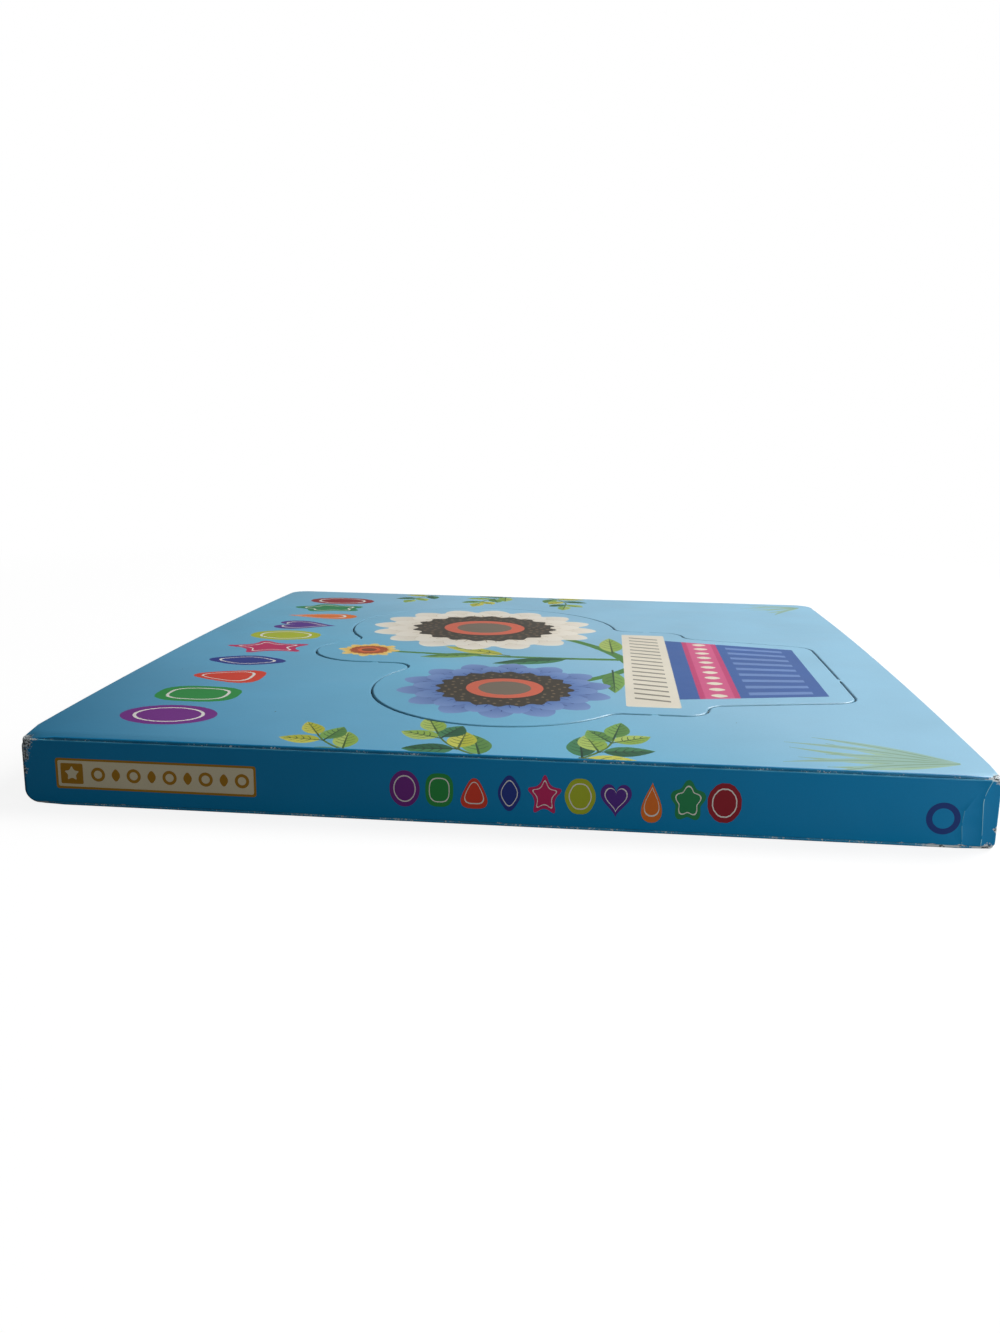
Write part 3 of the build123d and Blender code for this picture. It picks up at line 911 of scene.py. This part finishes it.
def fan(base, blades, reach, width, first, last):
    """Long narrow grass blades from one place, spread between two directions in degrees."""
    prints = []
    for number in range(blades):
        way = radians(first + (last - first) * number / (blades - 1))
        long = reach * (0.72 + 0.28 * sin(2.2 * number + 0.7) ** 2)
        tip = Vector((cos(way), sin(way))) * long
        lean = Vector((-tip.y, tip.x)) * (0.05 if number % 2 else -0.04)
        spine_line = [Vector(base) + tip * (i / 10) + lean * sin(pi * i / 10) for i in range(11)]
        halves = [width / 2 * sin(pi * (0.12 + 0.88 * i / 10)) for i in range(11)]
        side = Vector((-sin(way), cos(way)))
        outline = [place - side * half for place, half in zip(spine_line, halves)]
        outline += [place + side * half for place, half in zip(spine_line, halves)][-2::-1]
        prints += [(outline, "#A3C6A8" if number % 2 else "#9BC1B6"),
                   (stroke(spine_line, (0.7, 0.2)), "#7CA585")]
    return prints


cover_prints = shape_row((19.0, 75.0), (18.2, 0), (7.7, 11.0))
for base, tip, bend, pairs, length, width, first_green in (
        ((-2, -4), (14, 13), 0.16, 3, 13.5, 6.4, 0),
        ((-2, -14), (15, -25), -0.14, 3, 13.5, 6.2, 1),
        ((-2, 25), (9, 38), 0.12, 2, 11.5, 5.4, 3),
        ((210, 10), (188, 24), -0.14, 3, 12.0, 5.6, 2),
        ((210, 2), (186, -8), 0.14, 3, 12.0, 5.4, 0),
        ((210, 40), (192, 50), -0.1, 2, 10.0, 5.0, 1)):
    cover_prints += spray(base, tip, bend, pairs, length, width, first_green)
cover_prints += fan((7, -94), 9, 36, 2.6, 62, 106)
cover_prints += fan((200, -95), 7, 24, 2.2, 82, 150)
for across, up, size in ((24.3, 52.0, 0.32), (61.0, 88.5, 0.22), (30.0, -52.5, 0.2), (118.0, -58.0, 0.25)):
    speck = about((across, up), [size, size * 0.6, size * 0.9, size * 0.7, size * 0.8])
    cover_prints.append((speck, "#46545A"))

piece_outline = cut_line("press_out_piece")
hole = nicked(moved_in(piece_outline, [-KERF] * len(piece_outline))[::-1])
# Guide lines along the fold, where the face droops
fold_guides = [[(across, 1.5 - HALF_HEIGHT), (across, HALF_HEIGHT - 3)] for across in (1.2, 1.8, 2.5, 3.4)]
swell_points = grid(BOOK_WIDTH, 2 * HALF_HEIGHT, BEND_STEP)
cover_laminate = printed_laminate("gloss laminate, front cover", 0.5, 0.1, [
    ((-99.5, -103.4, 14.6), 4.2, 0.9), ((99.6, -103.4, 15), 3.4, 0.8), ((-99, 103, 16), 3.0, 0.6),
    ((99, 103, 16), 3.0, 0.6)])
# The foot of its rolls is painted darker, most round the hole: painted shade in the cut line, with some dirt
front_cover = board("front_cover", [cover_outline(SHARP_CORNER, COVER_WORN_CORNER), hole], cover_face,
                    cover_back, COVER_TO_ROW, [cover_laminate, board_edge, cover_lining], SKY_WITH_PAINTED_SHADE_AND_LIGHT,
                    cover_prints, fold_guides + corner_guides + swell_points, mitre_line + swell_points,
                    wrapped=WRAPPED, fold_paint=SKY, soil_and_shade=(0.4, 0.7))
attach(front_cover, "front")
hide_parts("front_cover")

# Press-out piece
# The part of the front cover inside the cut line. It is printed in one with the cover, lies almost flush
# in its hole, and hangs on four nicks: bridges of board that the die leaves uncut.
PIECE_RISE = 0.1          # at its middle, and it falls away to both sides
PIECE_MIDDLE = 90
PIECE_FALL = 0.0005       # per millimetre
NICK_DROP, NICK_DEPTH, NICK_ROOT = 0.06, 0.8, 0.1
NICK_EDGE_ROLL = 0.03
RIM_HALF, RIM_TOP, RIM_FOOT = 44.0, -28.0, -41.0
POT_MIDDLE, POT_SHOULDER, POT_FOOT, POT_BASE = 84.0, 36.0, 28.0, -78.0
POT_STRIPES, RIM_STRIPES, RIBBON_LOZENGES = 9, 17, 11


def piece_face(across, up):
    return cover_face(across, up) + PIECE_RISE - PIECE_FALL * abs(across - PIECE_MIDDLE)


def moved(outline, centre, scale, turn):
    return [Vector(centre) + Matrix.Rotation(turn, 2) @ place * scale for place in outline]


def bloom_print(centre, radius, petals, colours, seeds):
    """A daisy seen from above: two layers of petals round a scalloped centre with its seeds in a spiral."""
    back_petal, front_petal, tip, vein, ring, middle, seed, eye = colours
    petal_half = [(0.30, 0.09), (0.55, 0.155), (0.78, 0.175), (0.93, 0.12), (1.0, 0.03)]
    petal = [Vector(place) for place in [(x, -y) for x, y in petal_half] + petal_half[::-1]]
    prints = []
    for layer, (reach, root) in enumerate(((1.0, back_petal), (0.86, front_petal))):
        for number in range(petals):
            turn = 2 * pi * (number + layer / 2) / petals
            way = Vector((cos(turn), sin(turn)))
            blade = moved(softened(petal), centre, radius * reach, turn)
            blend = (root, tip, Vector(centre) + way * radius * 0.45, Vector(centre) + way * radius * reach)
            prints.append((blade, blend))
            for lean in (-0.05, 0.05):
                line = [Vector((0.36, lean * 0.5)), Vector((0.6, lean)), Vector((0.8, lean * 0.9))]
                path = moved(line, centre, radius * reach, turn)
                prints.append((stroke(path, (radius * 0.018, radius * 0.008)), vein))
    scallops = [0.62 + 0.03 * cos(20 * 2 * pi * i / 120) for i in range(120)]
    prints += [(about(centre, [radius * share for share in scallops]), middle),
               (about(centre, [radius * 0.36] * 56), ring), (about(centre, [radius * 0.245] * 48), eye)]
    golden_turn = pi * (3 - sqrt(5))
    for number in range(seeds):
        away = radius * 0.58 * sqrt((number + 0.5) / seeds)
        if away / radius > 0.4:
            spot = Vector(centre) + Vector((cos(number * golden_turn), sin(number * golden_turn))) * away
            prints.append((about(spot, [radius * 0.016] * 7), seed))
    return prints


def pot_side(up):
    """Half-width of the pot at a height."""
    return POT_FOOT + (POT_SHOULDER - POT_FOOT) * (up - POT_BASE) / (RIM_FOOT - POT_BASE)


def band(low, high):
    """A band right across the pot."""
    return [Vector((POT_MIDDLE + side * pot_side(up), up))
            for side, up in ((-1, low), (1, low), (1, high), (-1, high))]


piece_prints = []
for start, end, bend, width in (((84, -30), (133, 12), -0.12, 3.4), ((80, -30), (53, 0), 0.1, 3.0),
                                ((90, -30), (92, 44), 0.03, 2.4)):
    piece_prints.append((stroke(bowed(start, end, bend, 16), (width, width * 0.7)), "#4F8A3C"))
for base, tip, width, green in (((91, 6), (100.5, 24), 7.0, 1), ((91, 12), (85, 29), 6.0, 0),
                                ((88, -12), (79.5, 8), 7.5, 2), ((100, -25), (121, -24), 7.0, 3),
                                ((74, -25), (52, -25.5), 6.0, 0)):
    piece_prints += leaf_print(base, tip, width, *LEAF_GREENS[green])
piece_prints += bloom_print((92, 45), 9.0, 8, (
    "#F2B63C", "#F7C955", "#F9DE8A", "#D98A2A", "#E9703C", "#B4562B", "#F6D9A0", "#8C4A2A"), 20)
piece_prints += bloom_print((53, 2), 27.0, 14, (
    "#2A4F98", "#3C66AC", "#7F9DD2", "#234084", "#D9694F", "#403A2E", "#85735A", "#7B6E5F"), 120)
piece_prints += bloom_print((133, 16), 36.0, 16, (
    "#D5C8AF", "#E9DFCC", "#F6F1E4", "#B5A587", "#D9694F", "#403A2E", "#7D6852", "#7B6E5F"), 190)

# The pot: upright stripes, a ribbon of lozenges and a rim with slanted stripes
stripe_foot, stripe_top, stripe_inset = POT_BASE + 3.5, -58.5, 1.2
piece_prints.append((band(POT_BASE, RIM_FOOT), "#3A63A8"))
for number in range(POT_STRIPES):
    left = -1 + 2 * (number + 0.22) / POT_STRIPES
    right = -1 + 2 * (number + 0.62) / POT_STRIPES
    stripe = [Vector((POT_MIDDLE + share * (pot_side(up) - stripe_inset), up)) for share, up in (
        (left, stripe_foot), (right, stripe_foot), (right, stripe_top), (left, stripe_top))]
    piece_prints.append((stripe, "#6E90CA"))
piece_prints += [(band(-56.0, -46.0), "#C94078"), (band(-54.6, -47.4), "#DB5C8D")]
for number in range(RIBBON_LOZENGES):
    middle = (POT_MIDDLE - 31 + number * 6.2, -51.0)
    piece_prints.append((softened(about(middle, [2.6, 2.0] * 2, pi / 2)), "#F1E7D2"))
piece_prints.append((slab(POT_MIDDLE - RIM_HALF, RIM_FOOT, POT_MIDDLE + RIM_HALF, RIM_TOP, 2.0), "#EFE8D6"))
for number in range(RIM_STRIPES):
    left, low, high = POT_MIDDLE - RIM_HALF + 5 + number * 4.7, RIM_FOOT + 2.2, RIM_TOP - 2.2
    stripe = [Vector(place) for place in (
        (left, low), (left + 1.3, low), (left + 3.6, high), (left + 2.3, high))]
    piece_prints.append((stripe, "#8F8A7C"))

piece_laminate = printed_laminate("gloss laminate, press-out piece", 0.4, 0.25, [])
piece_materials = [piece_laminate, board_edge, cover_lining]
# The foot of its roll round the cut line is painted darker: painted shade in the cut line, with some dirt
piece = board("press_out_piece", [nicked(piece_outline)], piece_face, cover_back, COVER_TO_ROW,
              piece_materials, SKY_WITH_PAINTED_SHADE_AND_LIGHT, piece_prints, swell_points, swell_points, soil_and_shade=(0.7, 0.0))
bridges = []
for number, (across, up, across_way, up_way) in enumerate(NICKS):
    way = Vector((across_way, up_way))
    middle = Vector((across, up)) + way * KERF / 2
    half = way * (KERF / 2 + NICK_ROOT)
    side = Vector((-way.y, way.x)) * NICK_WIDTH / 2
    corners = [middle - half - side, middle + half - side, middle + half + side, middle - half + side]
    bridges.append(board(
        f"nick_{number}", [[(*corner, NICK_EDGE_ROLL) for corner in corners]],
        lambda across, up: piece_face(across, up) - NICK_DROP,
        lambda across, up: piece_face(across, up) - NICK_DEPTH, COVER_TO_ROW, piece_materials, SKY_WITH_PAINTED_SHADE_AND_LIGHT))
with bpy.context.temp_override(active_object=piece, selected_editable_objects=[piece] + bridges):
    bpy.ops.object.join()
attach(piece, "front")
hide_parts("press_out_piece")

# Floor, light and camera
# A plain white table under a softbox over its far right side, with a small fill panel low at the front
# right and a soft studio round it that is brighter behind the book. The viewpoint is the photograph's.
floor_mesh = bpy.data.meshes.new("floor")
floor_mesh.from_pydata([(-6, -3, 0), (6, -3, 0), (6, 9, 0), (-6, 9, 0)], [], [(0, 1, 2, 3)])
floor = new_object("floor", floor_mesh)
floor_paint, tree, shader, here = new_material("white table")
floor_mesh.materials.append(floor_paint)
tree.nodes.remove(shader)
# The camera sees it white, with a trace of the book's shadow near the book, and the book sees it grey
path = add(tree, "ShaderNodeLightPath").outputs
away = add(tree, "ShaderNodeVectorMath", {0: here, 1: (0.0, 0.0, 0.0)}, operation="DISTANCE")
far = add(tree, "ShaderNodeMapRange", {"Value": away, 1: 0.1, 2: 0.5, 3: 0.0, 4: 1.0})
shadowed = add(tree, "ShaderNodeBsdfDiffuse", {"Color": linear("#7C7C7C")})
lit = add(tree, "ShaderNodeEmission", {"Color": (1, 1, 1, 1), "Strength": 0.86})
white = add(tree, "ShaderNodeEmission", {"Color": (1, 1, 1, 1), "Strength": 1.0})
near = add(tree, "ShaderNodeAddShader", {0: shadowed, 1: lit})
seen = add(tree, "ShaderNodeMixShader", {0: far, 1: near, 2: white})
felt = add(tree, "ShaderNodeBsdfDiffuse", {"Color": linear("#5C5C5C")})
both = add(tree, "ShaderNodeMixShader", {0: path["Is Camera Ray"], 1: felt, 2: seen})
tree.links.new(both.outputs[0], tree.nodes["Material Output"].inputs["Surface"])

# The studio: its soft light, and what the gloss film mirrors of it, brightening to the right and ahead
world = bpy.data.worlds.new("studio")
bpy.context.scene.world = world
world.use_nodes = True
tree = world.node_tree
direction = add(tree, "ShaderNodeTexCoord").outputs["Generated"]
way = add(tree, "ShaderNodeSeparateXYZ", {"Vector": direction}).outputs
path = add(tree, "ShaderNodeLightPath").outputs
soft_light = add(tree, "ShaderNodeMath", {
    0: add(tree, "ShaderNodeMapRange", {"Value": way["X"], 1: -1.0, 2: 1.0, 3: 0.135, 4: 0.22}),
    1: add(tree, "ShaderNodeMapRange", {"Value": way["Y"], 1: -1.0, 2: 1.0, 3: 0.4, 4: 1.6})},
    operation="MULTIPLY")
sideways = add(tree, "ShaderNodeMapRange", {"Value": way["X"], 1: -0.52, 2: 0.36, 3: 0.0, 4: 1.0})
window = add(tree, "ShaderNodeValToRGB", {"Fac": sideways})
stops = window.color_ramp.elements
stops[0].color, stops[1].color = (0.12, 0.12, 0.12, 1), (1, 1, 1, 1)
stops.new(0.25).color, stops.new(0.6).color = (0.42, 0.42, 0.42, 1), (0.72, 0.72, 0.72, 1)
ahead = add(tree, "ShaderNodeMapRange", {"Value": way["Y"], 1: -0.3, 2: 0.4, 3: 0.01, 4: 0.33})
mirrored = add(tree, "ShaderNodeMath", {0: window, 1: ahead}, operation="MULTIPLY")
seen_in_gloss = add(tree, "ShaderNodeMix", {0: path["Is Glossy Ray"], 2: soft_light, 3: mirrored})
strength = add(tree, "ShaderNodeMix", {0: path["Is Camera Ray"], 2: seen_in_gloss, 3: 1.0})
background = tree.nodes["Background"]
background.inputs["Color"].default_value = (1, 1, 1, 1)
tree.links.new(strength.outputs[0], background.inputs["Strength"])

for name, place, size, power in (
        ("softbox", (0.51, 0.24, 0.54), 0.45, 6.8), ("fill panel", (0.25, -0.28, 0.07), 0.15, 0.31)):
    panel = bpy.data.lights.new(name, "AREA")
    panel.shape, panel.size, panel.size_y, panel.energy = "RECTANGLE", size, size, power
    lamp = new_object(name, panel)
    lamp.location = place
    lamp.rotation_euler = (-Vector(lamp.location)).to_track_quat("-Z", "Y").to_euler()
bpy.context.scene.view_settings.view_transform = "Standard"

# The viewpoint, fitted to the book's outline: low and close, a little to the right of its middle
VIEWPOINT = (0.0212, -0.31102, 0.07841)
TURN, TILT, ROLL = radians(5.377), radians(90 - 12.152), radians(0.871)
lens = bpy.data.cameras.new("camera")
lens.lens, lens.sensor_width = 28.946, 36.0
lens.clip_start = 0.01
camera = new_object("camera", lens)
camera.matrix_world = (Matrix.Translation(VIEWPOINT) @ Matrix.Rotation(TURN, 4, "Z")
                       @ Matrix.Rotation(TILT, 4, "X") @ Matrix.Rotation(ROLL, 4, "Z"))
bpy.context.scene.camera = camera
